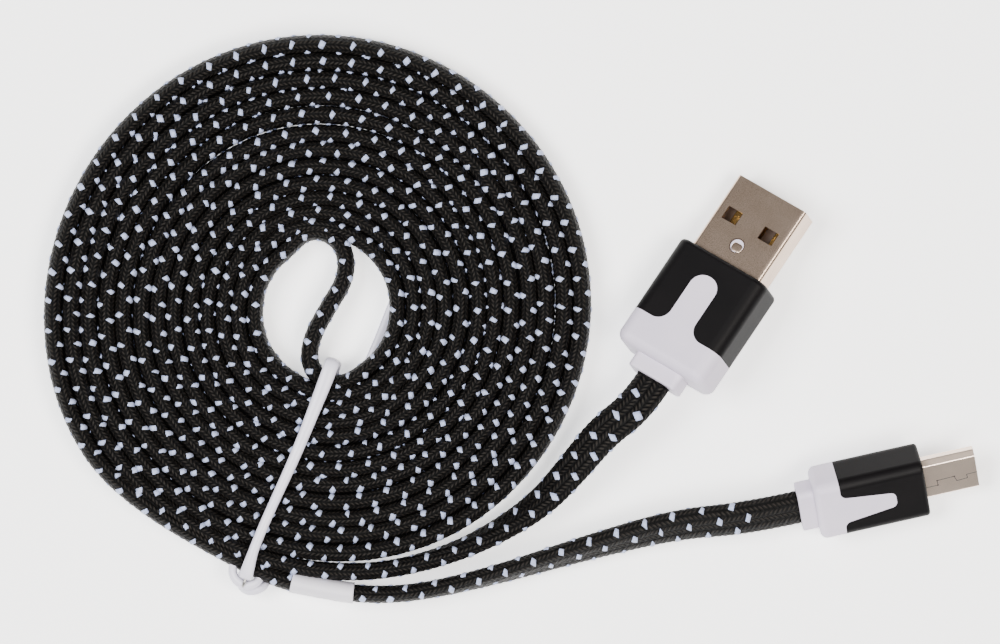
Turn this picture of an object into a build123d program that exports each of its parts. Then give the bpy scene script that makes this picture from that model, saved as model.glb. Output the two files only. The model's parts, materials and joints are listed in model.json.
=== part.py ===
"""Flat braided charging cable, wound on edge into a double spiral and held by a twist tie.

One end carries a USB-A plug and the other a micro-B plug.  Millimetres, +Z up.  The origin is
the centre of the coil, on the surface it lies on.  Each plug is modelled in its own frame, with
+X out of the plug, +Y to its left, +Z out of its top face and the origin where the metal shell
leaves the cover, and is then placed as it lies.
"""
from build123d import *
from math import cos, sin, tan, radians
import os

os.makedirs("parts", exist_ok=True)

# ---- the cable: flat section, standing on edge in the coil -------------------------------
cable_width = 5.6
cable_thickness = 2.4
cable_corner = 1.0
core_width_squeeze = 0.6
core_height_squeeze = 0.7

# ---- the coil -----------------------------------------------------------------------------
coil_hole_radius = 9.0
coil_outer_radius = 38.1
coil_outer_shift = (-0.9, 0.8)
coil_edge_rounding = 0.9

# ---- the route of the loose stretches, centre of the section -------------------------------
bend_route = [
    (1.9, 10.3, 2.8), (2.9, 6.6, 2.8), (1.9, 2.9, 2.8), (-0.3, -0.6, 2.8),
    (-2.3, -4.2, 2.8), (-2.9, -7.4, 2.8), (-2.1, -10.6, 2.8)]
usb_route = [
    (-4.0, -36.0, 2.8), (3.2, -37.1, 2.8), (10.6, -36.9, 2.8), (18.4, -34.7, 2.85),
    (25.0, -31.5, 3.1), (31.0, -27.4, 4.3), (35.6, -22.2, 6.3), (39.6, -17.3, 8.5)]
micro_route = [
    (-20.4, -31.2, 2.8), (-15.0, -35.5, 2.9), (-8.4, -38.1, 3.08), (7.3, -41.2, 3.08),
    (15.5, -40.3, 2.9), (26.5, -37.3, 2.9), (37.5, -33.9, 3.4), (50.0, -30.8, 4.6)]
usb_lead = 4.6
micro_lead = 7.5

# ---- the USB-A plug -----------------------------------------------------------------------
usb_shell_width = 12.0
usb_shell_height = 4.5
usb_shell_wall = 0.3
usb_shell_reach = 12.1
usb_shell_root = 6.5
usb_shell_corner = 0.6
usb_window_length = 2.05
usb_window_width = 2.5
usb_window_setback = 5.7
usb_window_spread = 6.4
usb_catch_hole_radius = 1.15
usb_catch_setback = 9.15
usb_tongue_setback = 0.5
usb_tongue_thickness = 1.93
usb_cavity_depth = 8.7
usb_contact_width = 1.0
usb_contact_thickness = 0.25
usb_contact_tail = 1.6
usb_outer_contact_side = 3.5
usb_inner_contact_side = 1.0
usb_outer_contact_setback = 0.7
usb_inner_contact_setback = 1.7
usb_body_length = 17.3
usb_grip_over_shell = 1.65
usb_body_corner = 1.9
usb_base_length = 5.1
usb_tab_setback = 3.2
usb_tab_width = 4.4
usb_tab_root_rounding = 2.1
usb_collar_length = 2.3
usb_collar_beside_cable = 1.3
usb_collar_over_cable = 0.9
usb_mould_wall = 0.95
usb_clip_length = 5.6
usb_crimp_length = 2.0

# ---- the micro-B plug ---------------------------------------------------------------------
micro_shell_width = 6.85
micro_shell_height = 1.8
micro_shell_narrow = 5.5
micro_shell_side = 1.05
micro_shell_corner = 0.25
micro_shell_wall = 0.2
micro_shell_reach = 7.7
micro_shell_root = 4.4
micro_body_length = 16.0
micro_grip_beside_shell = 1.475
micro_grip_over_shell = 2.3
micro_body_corner = 1.4
micro_base_length = 3.7
micro_tab_setback = 4.5
micro_tab_tip_width = 2.4
micro_tab_root_width = 4.6
micro_tab_root_rounding = 1.0
micro_collar_length = 2.3
micro_collar_round_cable = 0.7
micro_mould_wall = 0.9
micro_cavity_depth = 5.2
micro_plate_setback = 0.4
micro_contact_pitch = 0.65
micro_contact_width = 0.32
micro_contact_thickness = 0.15
micro_contact_tail = 1.0
micro_contact_setback = 0.7
micro_plate_thickness = 0.45
micro_latch_spread = 4.4
micro_latch_width = 0.6
micro_latch_thickness = 0.2
micro_latch_length = 6.0
micro_hook_setback = 2.3
micro_hook_length = 1.1
micro_hook_reach = 0.35
micro_clip_length = 4.6
micro_crimp_length = 1.8

# ---- wires, shared by both plugs ----------------------------------------------------------
usb_wire_radius = 0.55
usb_wire_straight = 0.8
usb_solder_length = 0.5
micro_wire_radius = 0.3
micro_wire_straight = 0.5
micro_solder_length = 0.4
wire_start_straight = 0.4
wire_names = ("red", "white", "green", "black")

# ---- the marker sleeve and the twist tie --------------------------------------------------
sleeve_wall = 0.25
sleeve_length = 9.4
tie_width = 2.1
tie_thickness = 0.6
tie_wire_radius = 0.2
tie_outer_end = (-11.4, -38.3)
tie_heading = 68.1
tie_inner_reach = 33.0
tie_outer_reach = 1.55
tie_tail_start = (-10.4, -38.4)
tie_tail_heading = 63.3
tie_tail_length = 47.0
tie_knot_size = (2.2, 4.4, 4.4)

# ---- the inner mouldings and the collars, shared by both plugs -------------------------------
mould_behind_crimp = 0.4
mould_into_base = 0.6
mould_corner = 1.0
collar_corner = 0.9
collar_edge_rounding = 0.35
collar_root = 1.0

# ---- the stamped clips that crimp the cable ------------------------------------------------
clip_wall = 0.25
clip_overlap = 2.0
clip_start = 0.2

# ---- sizes that follow from the ones above ---------------------------------------------------
usb_body_width = usb_shell_width + 2 * usb_grip_over_shell
usb_body_height = usb_shell_height + 2 * usb_grip_over_shell
micro_body_width = micro_shell_width + 2 * micro_grip_beside_shell
micro_body_height = micro_shell_height + 2 * micro_grip_over_shell
usb_collar_width = cable_width + 2 * usb_collar_beside_cable
usb_collar_height = cable_thickness + 2 * usb_collar_over_cable
micro_collar_width = cable_width + 2 * micro_collar_round_cable
micro_collar_height = cable_thickness + 2 * micro_collar_round_cable

# ---- clearances ---------------------------------------------------------------------------
slip = 0.05
spring_gap = 0.1
tie_gap = 0.1

# ---- how the plugs lie --------------------------------------------------------------------
usb_heading, usb_nose_down, usb_roll = 56.0, 8.0, 24.0
usb_front_centre = (57.6, 6.0)
micro_heading, micro_nose_down, micro_roll = 12.6, 1.7, -38.0
micro_front_centre = (85.3, -24.1)


def lying_plane(front_centre, heading, nose_down, roll, low_points):
    """The plug's own frame as it lies, with the lowest of low_points on the floor.

    A positive roll lifts the plug's right side."""
    ahead = Vector(cos(radians(heading)), sin(radians(heading)), 0)
    right = Vector(sin(radians(heading)), -cos(radians(heading)), 0)
    up = Vector(0, 0, 1)
    axis = ahead * cos(radians(nose_down)) - up * sin(radians(nose_down))
    above = ahead * sin(radians(nose_down)) + up * cos(radians(nose_down))
    top = above * cos(radians(roll)) - right * sin(radians(roll))
    flat = Plane(origin=(*front_centre, 0), x_dir=axis, z_dir=top)
    lift = -min(flat.from_local_coords(Vector(*point)).Z - rounding for *point, rounding in low_points)
    return Plane(origin=(*front_centre, lift), x_dir=axis, z_dir=top)


def low_corners(reach, shell_width, shell_height, length, width, height, corner):
    """Points on a plug that can touch the floor, each with the rounding around it."""
    half_width, half_height = width / 2 - corner, height / 2 - corner
    found = []
    for side in (-1, 1):
        found.append((reach, side * shell_width / 2, -shell_height / 2, 0))
        found.append((0, side * half_width, -half_height, corner))
        found.append((-length, side * half_width, -half_height, corner))
    return found


usb_lying = lying_plane(
    usb_front_centre, usb_heading, usb_nose_down, usb_roll,
    low_corners(usb_shell_reach, usb_shell_width, usb_shell_height,
                usb_body_length, usb_body_width, usb_body_height, usb_body_corner))
micro_lying = lying_plane(
    micro_front_centre, micro_heading, micro_nose_down, micro_roll,
    low_corners(micro_shell_reach, micro_shell_width, micro_shell_height,
                micro_body_length, micro_body_width, micro_body_height, micro_body_corner))


def keep(piece, name, lying=None):
    """Put a finished piece where it lies, label it and write it."""
    if lying is not None:
        piece.part.locate(lying.location)
    piece.part.label = name
    export_step(piece.part, f"parts/{name}.step")


# ==== the USB-A plug =======================================================================
usb_inner_width = usb_shell_width - 2 * usb_shell_wall
usb_inner_height = usb_shell_height - 2 * usb_shell_wall
usb_window_x = usb_shell_reach - usb_window_setback
usb_catch_x = usb_shell_reach - usb_catch_setback
usb_tongue_front = usb_shell_reach - usb_tongue_setback
usb_block_front = usb_shell_reach - usb_cavity_depth
usb_tongue_top = -usb_inner_height / 2 + usb_tongue_thickness
usb_tail_end = -usb_shell_root - usb_contact_tail
usb_clip_front = -usb_shell_root + clip_start
usb_clip_rear = usb_clip_front - usb_clip_length
usb_crimp_rear = usb_clip_rear - usb_crimp_length
usb_base_front = -usb_body_length + usb_base_length
usb_collar_rear = -usb_body_length - usb_collar_length

with BuildPart() as usb_a_shell:
    with BuildSketch(Plane.YZ.offset(-usb_shell_root)):
        RectangleRounded(usb_shell_width, usb_shell_height, usb_shell_corner)
        RectangleRounded(usb_inner_width, usb_inner_height, usb_shell_corner - usb_shell_wall,
                         mode=Mode.SUBTRACT)
    extrude(amount=usb_shell_reach + usb_shell_root)
    # latch windows through both broad faces, and the catch hole in the top one
    with BuildSketch(Plane.XY):
        with Locations((usb_window_x, -usb_window_spread / 2), (usb_window_x, usb_window_spread / 2)):
            Rectangle(usb_window_length, usb_window_width)
    extrude(amount=usb_shell_height, both=True, mode=Mode.SUBTRACT)
    with BuildSketch(Plane.XY):
        with Locations((usb_catch_x, 0)):
            Circle(usb_catch_hole_radius)
    extrude(amount=usb_shell_height, mode=Mode.SUBTRACT)
keep(usb_a_shell, "usb_a_shell", usb_lying)

usb_contacts = []
for signal, side, setback in (("ground", usb_outer_contact_side, usb_outer_contact_setback),
                              ("data_plus", usb_inner_contact_side, usb_inner_contact_setback),
                              ("data_minus", -usb_inner_contact_side, usb_inner_contact_setback),
                              ("power", -usb_outer_contact_side, usb_outer_contact_setback)):
    usb_contacts.append((f"usb_a_contact_{signal}", side, usb_tongue_front - setback))


def usb_contact_slot(side, front, extra):
    """The bar that a contact fills, from its front end back to its solder tail."""
    with BuildPart() as bar:
        with BuildSketch(Plane.XY.offset(usb_tongue_top - usb_contact_thickness)):
            with Locations(((front + usb_tail_end) / 2, side)):
                Rectangle(front - usb_tail_end + 2 * extra, usb_contact_width + 2 * extra)
        extrude(amount=usb_contact_thickness)
    return bar


with BuildPart() as usb_a_insulator:
    with BuildSketch(Plane.YZ.offset(-usb_shell_root)):
        RectangleRounded(usb_inner_width - 2 * slip, usb_inner_height - 2 * slip,
                         usb_shell_corner - usb_shell_wall)
    extrude(amount=usb_tongue_front + usb_shell_root)
    # the mouth, open above the tongue as far back as the block
    with BuildSketch(Plane.XY.offset(usb_tongue_top)):
        with Locations(((usb_block_front + usb_shell_reach) / 2, 0)):
            Rectangle(usb_cavity_depth, usb_shell_width)
    extrude(amount=usb_shell_height, mode=Mode.SUBTRACT)
    # the catch that snaps into the shell's round hole
    with BuildSketch(Plane.XY.offset(usb_inner_height / 2 - slip)):
        with Locations((usb_catch_x, 0)):
            Circle(usb_catch_hole_radius - slip)
    extrude(amount=usb_shell_wall)
    for _, side, front in usb_contacts:
        add(usb_contact_slot(side, front, slip / 2).part, mode=Mode.SUBTRACT)
keep(usb_a_insulator, "usb_a_insulator", usb_lying)

for name, side, front in usb_contacts:
    usb_a_contact = usb_contact_slot(side, front, 0)
    keep(usb_a_contact, name, usb_lying)


def crimp_clip(front, rear, width, height, wall, crimp_length, crimp_width, crimp_height):
    """A stamped tray with an oval crimp ring behind it, open towards the plug's mouth."""
    with BuildPart() as clip:
        with BuildSketch(Plane.YZ.offset(rear)):
            RectangleRounded(width, height, 2 * wall)
            RectangleRounded(width - 2 * wall, height - 2 * wall, wall, mode=Mode.SUBTRACT)
        extrude(amount=front - rear)
        with BuildSketch(Plane.YZ.offset(rear)):
            RectangleRounded(width, height, 2 * wall)
            RectangleRounded(crimp_width, crimp_height, crimp_height / 2.1, mode=Mode.SUBTRACT)
        extrude(amount=wall)
        with BuildSketch(Plane.YZ.offset(rear)):
            RectangleRounded(crimp_width + 2 * wall, crimp_height + 2 * wall, crimp_height / 2)
            RectangleRounded(crimp_width, crimp_height, crimp_height / 2.1, mode=Mode.SUBTRACT)
        extrude(amount=-crimp_length)
    return clip


# the cable is squeezed by the crimp to a slightly smaller flat section
core_width = cable_width - core_width_squeeze
core_height = cable_thickness - core_height_squeeze

usb_clip_width = usb_shell_width + 2 * clip_wall + 2 * slip
usb_clip_height = usb_shell_height + 2 * clip_wall + 2 * slip
usb_a_rear_clip = crimp_clip(usb_clip_front + clip_overlap, usb_clip_rear, usb_clip_width, usb_clip_height,
                             clip_wall, usb_crimp_length, core_width + 2 * slip, core_height + 2 * slip)
keep(usb_a_rear_clip, "usb_a_rear_clip", usb_lying)


def cable_end(rear, crimp_rear, front):
    """The cable inside a plug: full section through the collar, squeezed flat in the crimp."""
    with BuildPart() as end:
        with BuildSketch(Plane.YZ.offset(rear)):
            RectangleRounded(cable_width, cable_thickness, cable_corner)
        extrude(amount=crimp_rear - slip - rear)
        with BuildSketch(Plane.YZ.offset(crimp_rear - slip)):
            RectangleRounded(core_width, core_height, core_height / 2.2)
        extrude(amount=front - crimp_rear + slip)
    return end


usb_core_front = usb_clip_rear + clip_wall
usb_a_cable_end = cable_end(usb_collar_rear, usb_crimp_rear, usb_core_front)
keep(usb_a_cable_end, "usb_a_cable_end", usb_lying)


def wire(start, bend_back, bend_front, end, radius):
    """One insulated wire from the cable's core to its contact's tail."""
    with BuildPart() as run:
        with BuildLine() as path:
            FilletPolyline(start, bend_back, bend_front, end, radius=1.2 * radius)
        with BuildSketch(Plane(origin=start, z_dir=(1, 0, 0))):
            Circle(radius)
        sweep()
    return run


usb_wire_level = usb_tongue_top + usb_wire_radius - usb_contact_thickness / 2
usb_wire_end = usb_tail_end - usb_solder_length
for place, colour in enumerate(wire_names):
    tail_side = usb_contacts[3 - place][1]
    core_side = (place - 1.5) * core_width / 4
    usb_a_wire = wire((usb_core_front, core_side, 0),
                      (usb_core_front + wire_start_straight, core_side, 0),
                      (usb_wire_end - usb_wire_straight, tail_side, usb_wire_level),
                      (usb_wire_end, tail_side, usb_wire_level), usb_wire_radius)
    keep(usb_a_wire, f"usb_a_wire_{colour}", usb_lying)

with BuildPart() as usb_a_solder_joints:
    for _, side, _ in usb_contacts:
        with BuildSketch(Plane.YZ.offset(usb_wire_end)):
            with Locations((side, usb_wire_level)):
                Circle(0.8 * usb_wire_radius)
        extrude(amount=usb_solder_length)
keep(usb_a_solder_joints, "usb_a_solder_joints", usb_lying)

usb_mould_front = -usb_mould_wall
usb_mould_rear = usb_crimp_rear - mould_behind_crimp
usb_mould_width = usb_body_width - 2 * usb_mould_wall
usb_mould_height = usb_body_height - 2 * usb_mould_wall


def mould_block(front, rear, width, height):
    """The soft plastic first shot around the shell's root and the crimped cable."""
    with BuildPart() as block:
        with BuildSketch(Plane.YZ.offset(rear)):
            RectangleRounded(width, height, mould_corner)
        extrude(amount=front - rear)
    return block


def inner_mould(block, clip_front, clip_rear, tray_width, tray_height, tray_wall, tray_overlap,
                shell_outline, crimp_length, rear):
    """The block with a pocket for the tray, a way out for the shell and one for the cable."""
    with BuildPart() as mould:
        add(block.part)
        with BuildSketch(Plane.YZ.offset(clip_rear)):
            RectangleRounded(tray_width, tray_height, 2 * tray_wall)
        extrude(amount=clip_front + tray_overlap - clip_rear, mode=Mode.SUBTRACT)
        with BuildSketch(Plane.YZ.offset(clip_front)):
            add(shell_outline.sketch)
        extrude(amount=-clip_front, mode=Mode.SUBTRACT)
        with BuildSketch(Plane.YZ.offset(clip_rear - crimp_length)):
            RectangleRounded(core_width + 2 * slip + 2 * tray_wall, core_height + 2 * slip + 2 * tray_wall,
                             (core_height + 2 * slip) / 2)
        extrude(amount=crimp_length, mode=Mode.SUBTRACT)
        with BuildSketch(Plane.YZ.offset(rear)):
            RectangleRounded(cable_width, cable_thickness, cable_corner)
        extrude(amount=clip_rear - crimp_length - rear, mode=Mode.SUBTRACT)
    return mould


with BuildSketch() as usb_shell_outline:
    RectangleRounded(usb_shell_width, usb_shell_height, usb_shell_corner)
usb_mould_solid = mould_block(usb_mould_front, usb_mould_rear, usb_mould_width, usb_mould_height)
usb_a_inner_mould = inner_mould(usb_mould_solid, usb_clip_front, usb_clip_rear, usb_clip_width,
                                usb_clip_height, clip_wall, clip_overlap, usb_shell_outline,
                                usb_crimp_length, usb_mould_rear)
keep(usb_a_inner_mould, "usb_a_inner_mould", usb_lying)


def grip_body(length, width, height, corner):
    """The whole outer moulding of a plug, cover and base together."""
    with BuildPart() as body:
        with BuildSketch(Plane.YZ.offset(-length)):
            RectangleRounded(width, height, corner)
        extrude(amount=length)
        fillet(body.faces().sort_by(Axis.X)[0].edges(), 0.75 * corner)
        fillet(body.faces().sort_by(Axis.X)[-1].edges(), 0.35 * corner)
    return body


def base_outline(length, width, base_front, tab_front, tip_width, root_width, tip_rounding, root_rounding):
    """Plan of the white base: a wide foot with a tab that runs forward between the cover's arms."""
    with BuildSketch() as plan:
        with BuildLine():
            half = width / 2 + 1
            Polyline((-length - 1, -half), (base_front, -half), (base_front, -root_width / 2),
                     (tab_front, -tip_width / 2), (tab_front, tip_width / 2),
                     (base_front, root_width / 2), (base_front, half), (-length - 1, half),
                     (-length - 1, -half))
        make_face()
        fillet(plan.vertices().group_by(Axis.X)[-1], tip_rounding)
        inner = [v for v in plan.vertices()
                 if abs(v.X - base_front) < 1e-6 and abs(v.Y) < width / 2]
        fillet(inner, root_rounding)
    return plan


def collar_block(rear, length, width, height):
    """The strain relief's square collar, running a little way into the base."""
    with BuildPart() as collar:
        with BuildSketch(Plane.YZ.offset(rear)):
            RectangleRounded(width, height, collar_corner)
        extrude(amount=length + collar_root)
        fillet(collar.faces().sort_by(Axis.X)[0].edges(), collar_edge_rounding)
    return collar


def split_grip(length, width, height, corner, plan, rear, collar_length, collar_width, collar_height,
               mould, mould_rear, shell_outline):
    """Cover and base as two solids that meet along the base's outline, hollow for the mould."""
    body = grip_body(length, width, height, corner)
    collar = collar_block(rear, collar_length, collar_width, collar_height)
    with BuildPart() as base:
        add(plan.sketch)
        extrude(amount=height, both=True)
        add(body.part, mode=Mode.INTERSECT)
        add(collar.part)
        add(mould.part, mode=Mode.SUBTRACT)
        with BuildSketch(Plane.YZ.offset(rear)):
            RectangleRounded(cable_width, cable_thickness, cable_corner)
        extrude(amount=mould_rear - rear, mode=Mode.SUBTRACT)
    with BuildPart() as cutter:
        add(plan.sketch)
        extrude(amount=height, both=True)
    with BuildPart() as cover:
        add(body.part)
        add(cutter.part, mode=Mode.SUBTRACT)
        add(mould.part, mode=Mode.SUBTRACT)
        with BuildSketch(Plane.YZ.offset(-length)):
            add(shell_outline.sketch)
        extrude(amount=length, mode=Mode.SUBTRACT)
    return base, cover


usb_plan = base_outline(usb_body_length, usb_body_width, usb_base_front, -usb_tab_setback,
                        usb_tab_width, usb_tab_width, 0.47 * usb_tab_width, usb_tab_root_rounding)
usb_a_base, usb_a_cover = split_grip(
    usb_body_length, usb_body_width, usb_body_height, usb_body_corner, usb_plan,
    usb_collar_rear, usb_collar_length, usb_collar_width, usb_collar_height,
    usb_mould_solid, usb_mould_rear, usb_shell_outline)
keep(usb_a_base, "usb_a_base", usb_lying)
keep(usb_a_cover, "usb_a_cover", usb_lying)


# ==== the micro-B plug =====================================================================
micro_plate_top = -micro_shell_height / 2 + micro_shell_wall + micro_plate_thickness
micro_plate_front = micro_shell_reach - micro_plate_setback
micro_block_front = micro_shell_reach - micro_cavity_depth
micro_hook_front = micro_shell_reach - micro_hook_setback
micro_latch_rear = micro_hook_front - micro_latch_length
micro_latch_low = -micro_shell_height / 2 + micro_shell_wall + spring_gap
micro_latch_top = micro_latch_low + micro_latch_thickness
micro_tail_end = -micro_shell_root - micro_contact_tail
micro_clip_front = -micro_shell_root + clip_start
micro_clip_rear = micro_clip_front - micro_clip_length
micro_crimp_rear = micro_clip_rear - micro_crimp_length
micro_base_front = -micro_body_length + micro_base_length
micro_collar_rear = -micro_body_length - micro_collar_length


def micro_outline(inset):
    """The shell's six-sided section, broad face down, drawn smaller all round by inset."""
    with BuildSketch() as outline:
        with BuildLine():
            half, narrow = micro_shell_width / 2, micro_shell_narrow / 2
            low, high = -micro_shell_height / 2, micro_shell_height / 2
            Polyline((-half, low), (half, low), (half, low + micro_shell_side), (narrow, high),
                     (-narrow, high), (-half, low + micro_shell_side), (-half, low))
        make_face()
        fillet(outline.vertices(), micro_shell_corner)
        if inset:
            offset(amount=-inset, mode=Mode.REPLACE)
    return outline


micro_shell_outline = micro_outline(0)
with BuildPart() as micro_b_shell:
    with BuildSketch(Plane.YZ.offset(-micro_shell_root)):
        add(micro_shell_outline.sketch)
        add(micro_outline(micro_shell_wall).sketch, mode=Mode.SUBTRACT)
    extrude(amount=micro_shell_reach + micro_shell_root)
    # slots in the broad face for the two latch hooks
    with BuildSketch(Plane.XY):
        with Locations(*[(micro_hook_front - micro_hook_length / 2, side * micro_latch_spread / 2)
                         for side in (-1, 1)]):
            Rectangle(micro_hook_length + 4 * spring_gap, micro_latch_width + 2 * spring_gap)
    extrude(amount=-micro_shell_height, mode=Mode.SUBTRACT)
keep(micro_b_shell, "micro_b_shell", micro_lying)

micro_contacts = []
for place, signal in enumerate(("power", "data_minus", "data_plus", "id", "ground")):
    micro_contacts.append((f"micro_b_contact_{signal}", (place - 2) * micro_contact_pitch))


def micro_contact_bar(side, extra):
    """A sprung contact: a straight bar with a raised touching point near its front."""
    front = micro_plate_front - micro_contact_setback
    with BuildPart() as bar:
        with BuildSketch(Plane.XY.offset(micro_plate_top)):
            with Locations(((front + micro_tail_end) / 2, side)):
                Rectangle(front - micro_tail_end, micro_contact_width + 2 * extra)
        extrude(amount=micro_contact_thickness + extra)
        with BuildSketch(Plane.XZ.offset(-side - micro_contact_width / 2 - extra)):
            with BuildLine():
                Polyline((front - 1.6, micro_plate_top), (front - 0.2, micro_plate_top),
                         (front - 0.6, micro_plate_top + 2 * micro_contact_thickness),
                         (front - 1.1, micro_plate_top + 2 * micro_contact_thickness),
                         (front - 1.6, micro_plate_top))
            make_face()
        extrude(amount=micro_contact_width + 2 * extra)
    return bar


with BuildPart() as micro_b_insulator:
    with BuildSketch(Plane.YZ.offset(-micro_shell_root)):
        add(micro_outline(micro_shell_wall + slip / 2).sketch)
    extrude(amount=micro_plate_front + micro_shell_root)
    # the mouth, open above the plate as far back as the block
    with BuildSketch(Plane.XY.offset(micro_plate_top)):
        with Locations(((micro_block_front + micro_shell_reach) / 2, 0)):
            Rectangle(micro_cavity_depth, micro_shell_width)
    extrude(amount=micro_shell_height, mode=Mode.SUBTRACT)
    # a channel for each latch arm, with room to be pressed in
    with BuildSketch(Plane.XY.offset(-micro_shell_height / 2)):
        with Locations(*[((micro_latch_rear + micro_hook_front) / 2, side * micro_latch_spread / 2)
                         for side in (-1, 1)]):
            Rectangle(micro_latch_length + 4 * spring_gap, micro_latch_width + 2 * spring_gap)
    extrude(amount=micro_latch_top + micro_hook_reach + spring_gap + micro_shell_height / 2,
            mode=Mode.SUBTRACT)
    for _, side in micro_contacts:
        add(micro_contact_bar(side, slip / 2).part, mode=Mode.SUBTRACT)
keep(micro_b_insulator, "micro_b_insulator", micro_lying)

for name, side in micro_contacts:
    micro_b_contact = micro_contact_bar(side, 0)
    keep(micro_b_contact, name, micro_lying)

# each latch is a flat spring whose hook stands out through the broad face
for latch_side, latch_name in ((1, "left"), (-1, "right")):
    with BuildPart() as micro_b_latch:
        with BuildSketch(Plane.XZ.offset(-latch_side * micro_latch_spread / 2 - micro_latch_width / 2)):
            with BuildLine():
                hook_low = -micro_shell_height / 2 - micro_hook_reach
                Polyline((micro_latch_rear, micro_latch_low),
                         (micro_hook_front - micro_hook_length, micro_latch_low),
                         (micro_hook_front - micro_hook_length, hook_low),
                         (micro_hook_front - 0.6 * micro_hook_length, hook_low),
                         (micro_hook_front, micro_latch_low + 0.03),
                         (micro_hook_front, micro_latch_top),
                         (micro_latch_rear, micro_latch_top),
                         (micro_latch_rear, micro_latch_low))
            make_face()
        extrude(amount=micro_latch_width)
    keep(micro_b_latch, f"micro_b_latch_{latch_name}", micro_lying)

micro_clip_width = micro_shell_width + 2 * clip_wall + 2 * slip
micro_clip_height = micro_shell_height + 2 * clip_wall + 2 * slip
micro_b_rear_clip = crimp_clip(micro_clip_front + clip_overlap, micro_clip_rear, micro_clip_width,
                               micro_clip_height, clip_wall, micro_crimp_length,
                               core_width + 2 * slip, core_height + 2 * slip)
keep(micro_b_rear_clip, "micro_b_rear_clip", micro_lying)

micro_core_front = micro_clip_rear + clip_wall
micro_b_cable_end = cable_end(micro_collar_rear, micro_crimp_rear, micro_core_front)
keep(micro_b_cable_end, "micro_b_cable_end", micro_lying)

# the id contact has no wire
micro_wired = [side for name, side in micro_contacts if not name.endswith("_id")]
micro_wire_level = micro_plate_top + micro_contact_thickness / 2
micro_wire_end = micro_tail_end - micro_solder_length
for place, colour in enumerate(wire_names):
    core_side = (place - 1.5) * core_width / 4
    micro_b_wire = wire((micro_core_front, core_side, 0),
                        (micro_core_front + wire_start_straight, core_side, 0),
                        (micro_wire_end - micro_wire_straight, micro_wired[place], micro_wire_level),
                        (micro_wire_end, micro_wired[place], micro_wire_level), micro_wire_radius)
    keep(micro_b_wire, f"micro_b_wire_{colour}", micro_lying)

with BuildPart() as micro_b_solder_joints:
    for side in micro_wired:
        with BuildSketch(Plane.YZ.offset(micro_wire_end)):
            with Locations((side, micro_wire_level)):
                Circle(0.8 * micro_wire_radius)
        extrude(amount=micro_solder_length)
keep(micro_b_solder_joints, "micro_b_solder_joints", micro_lying)

micro_mould_front = -micro_mould_wall
micro_mould_rear = min(micro_crimp_rear - mould_behind_crimp, micro_base_front - mould_into_base)
micro_mould_width = micro_body_width - 2 * micro_mould_wall
micro_mould_height = micro_body_height - 2 * micro_mould_wall
micro_mould_solid = mould_block(micro_mould_front, micro_mould_rear, micro_mould_width, micro_mould_height)
micro_b_inner_mould = inner_mould(micro_mould_solid, micro_clip_front, micro_clip_rear, micro_clip_width,
                                  micro_clip_height, clip_wall, clip_overlap, micro_shell_outline,
                                  micro_crimp_length, micro_mould_rear)
keep(micro_b_inner_mould, "micro_b_inner_mould", micro_lying)

micro_plan = base_outline(micro_body_length, micro_body_width, micro_base_front, -micro_tab_setback,
                          micro_tab_tip_width, micro_tab_root_width, 0.35 * micro_tab_tip_width,
                          micro_tab_root_rounding)
micro_b_base, micro_b_cover = split_grip(
    micro_body_length, micro_body_width, micro_body_height, micro_body_corner, micro_plan,
    micro_collar_rear, micro_collar_length, micro_collar_width, micro_collar_height,
    micro_mould_solid, micro_mould_rear, micro_shell_outline)
keep(micro_b_base, "micro_b_base", micro_lying)
keep(micro_b_cover, "micro_b_cover", micro_lying)

# ==== the twist tie ========================================================================
tie_start = (*tie_outer_end, 0)
tie_ahead = (cos(radians(tie_heading)), sin(radians(tie_heading)), 0)
tie_plane = Plane(origin=tie_start, x_dir=tie_ahead, z_dir=(tie_ahead[1], -tie_ahead[0], 0))
tie_low = slip
tie_high = cable_width + slip + tie_thickness
tie_length = tie_inner_reach + tie_outer_reach
tie_middle = ((tie_inner_reach - tie_outer_reach) / 2, (tie_low + tie_high) / 2)
tie_rounding = 1.2
tail_plane = Plane(origin=(*tie_tail_start, tie_low), z_dir=(0, 0, 1),
                   x_dir=(cos(radians(tie_tail_heading)), sin(radians(tie_tail_heading)), 0))


def tie_strip(extra):
    """The strip: once round the bundle, with a tail that runs on under the coil."""
    with BuildPart() as strip:
        with BuildSketch(tie_plane):
            with Locations(tie_middle):
                RectangleRounded(tie_length + 2 * extra, tie_high - tie_low + 2 * extra, tie_rounding)
                RectangleRounded(tie_length - 2 * tie_thickness - 2 * extra,
                                 tie_high - tie_low - 2 * tie_thickness - 2 * extra,
                                 tie_rounding - tie_thickness / 2, mode=Mode.SUBTRACT)
        extrude(amount=tie_width / 2 + extra, both=True)
        with BuildSketch(tail_plane):
            with Locations((tie_tail_length / 2, 0)):
                Rectangle(tie_tail_length, tie_width + 2 * extra)
        extrude(amount=tie_thickness + extra)
    return strip


with BuildPart() as twist_tie_wire:
    half_long, half_high = (tie_length - tie_thickness) / 2, (tie_high - tie_low - tie_thickness) / 2
    with BuildLine(tie_plane):
        mid_x, mid_y = tie_middle
        FilletPolyline((mid_x, mid_y + half_high), (mid_x + half_long, mid_y + half_high),
                       (mid_x + half_long, mid_y - half_high), (mid_x - half_long, mid_y - half_high),
                       (mid_x - half_long, mid_y + half_high), (mid_x - 2, mid_y + half_high),
                       radius=tie_rounding - tie_thickness / 2)
    with BuildSketch(Plane(origin=tie_plane.from_local_coords(Vector(mid_x, mid_y + half_high, 0)),
                           z_dir=tie_ahead)):
        Circle(tie_wire_radius)
    sweep()
keep(twist_tie_wire, "twist_tie_wire")

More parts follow.
